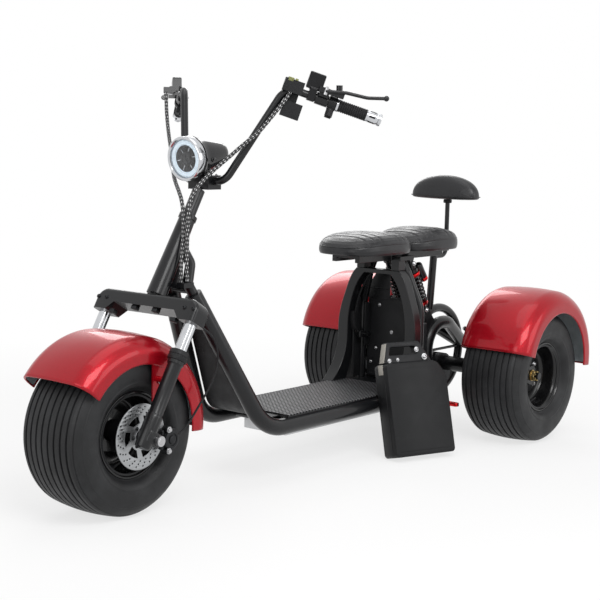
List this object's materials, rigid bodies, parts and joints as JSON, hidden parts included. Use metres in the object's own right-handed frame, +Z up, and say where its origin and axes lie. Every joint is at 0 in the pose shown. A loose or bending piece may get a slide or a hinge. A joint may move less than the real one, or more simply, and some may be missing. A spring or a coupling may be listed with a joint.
{
  "type": "electric three-wheel scooter",
  "caption": "Step-through electric tricycle scooter: raked fork, high swept handlebar, wide tyres, red fenders, two seats, backrest and a removable battery.",
  "frame": {"origin": "on the ground at the middle of the overall length and width", "axes": "+X forward, +Y to the rider's left, +Z up"},
  "size_m": [2.1119, 0.956, 1.203],
  "materials": {
    "red_paint": "candy red, clear coated",
    "black_paint": "gloss black",
    "tyre_rubber": "matt",
    "rubber": "matt",
    "rim_black": "gloss black",
    "chrome": "polished",
    "steel": "bright",
    "aluminium": "satin",
    "red_anodised": "red anodised aluminium",
    "black_plastic": "satin",
    "gloss_plastic": "gloss",
    "leather": "black, slight sheen",
    "brass": "zinc yellow",
    "lens": "clear with pale ring",
    "cord_black": "woven sleeve"
  },
  "bodies": {
    "chassis": {"rear_fenders": "red_paint", "main_tubes": "black_paint", "head_tube": "black_paint", "cross_members": "black_paint", "deck_pan": "black_paint", "deck_mat": "rubber", "under_tray": "aluminium", "splash_plate": "black_plastic", "seat_frame": "black_paint", "seat_rails": "black_paint", "seat_arcs": "black_paint", "bay_panel": "black_plastic", "controller_box": "black_plastic", "front_seat": "leather", "rear_seat": "leather", "rear_axle": "black_paint", "drive_motor": "black_paint", "swing_arms": "black_paint", "rear_ring": "black_paint", "axle_nuts": "brass", "shock_absorbers": "black_paint", "rear_seat_post": "black_paint", "backrest_post": "black_paint", "backrest_pad": "leather", "peg_brackets": "black_paint", "rear_fender_stays": "black_paint", "loom_tail_left": "cord_black", "loom_tail_right": "cord_black"},
    "steering": {"fork_crown": "black_paint", "fork_stanchions": "chrome", "fork_lowers": "black_paint", "front_axle": "steel", "front_fender": "red_paint", "handlebar": "black_paint", "grips": "rubber", "grip_caps": "chrome", "headlight_shell": "gloss_plastic", "headlight_ring": "chrome", "headlight_lens": "lens", "bar_clamp": "black_paint", "brake_levers": "black_paint", "lever_perches": "black_paint", "display": "gloss_plastic", "switch_boxes": "black_plastic", "brake_caliper": "aluminium", "front_fender_stays": "red_paint", "wiring_loom_left": "cord_black", "wiring_loom_right": "cord_black", "front_brake_hose": "cord_black"},
    "front_wheel": {"front_tyre": "tyre_rubber", "front_rim": "rim_black", "brake_disc": "steel"},
    "rear_wheel_left": {"rear_tyre_left": "tyre_rubber", "rear_rim_left": "rim_black"},
    "rear_wheel_right": {"rear_tyre_right": "tyre_rubber", "rear_rim_right": "rim_black"},
    "battery_pack": {"battery_case": "black_plastic", "battery_handle": "black_plastic"},
    "peg_left": {"foot_peg_left": "red_anodised"},
    "peg_right": {"foot_peg_right": "red_anodised"}
  },
  "joints": [
    {"name": "steer", "type": "hinge", "parent": "chassis", "child": "steering", "pos_m": [0.60179, 0, 0.67001], "axis": [-0.5, 0, 0.866], "range_deg": [-38, 38]},
    {"name": "front_wheel_spin", "type": "hinge", "parent": "steering", "child": "front_wheel", "pos_m": [0.831, 0, 0.225], "axis": [0, 1, 0], "continuous": true},
    {"name": "rear_wheel_left_spin", "type": "hinge", "parent": "chassis", "child": "rear_wheel_left", "pos_m": [-0.769, 0.34, 0.225], "axis": [0, 1, 0], "continuous": true},
    {"name": "rear_wheel_right_spin", "type": "hinge", "parent": "chassis", "child": "rear_wheel_right", "pos_m": [-0.769, -0.34, 0.225], "axis": [0, 1, 0], "continuous": true},
    {"name": "battery_out", "type": "slide", "parent": "chassis", "child": "battery_pack", "axis": [0, 1, 0], "range_m": [0, 0.3]},
    {"name": "peg_left_fold", "type": "hinge", "parent": "chassis", "child": "peg_left", "pos_m": [-0.511, 0.18, 0.14], "axis": [1, 0, 0], "range_deg": [0, 90]},
    {"name": "peg_right_fold", "type": "hinge", "parent": "chassis", "child": "peg_right", "pos_m": [-0.511, -0.18, 0.14], "axis": [-1, 0, 0], "range_deg": [0, 90]}
  ]
}
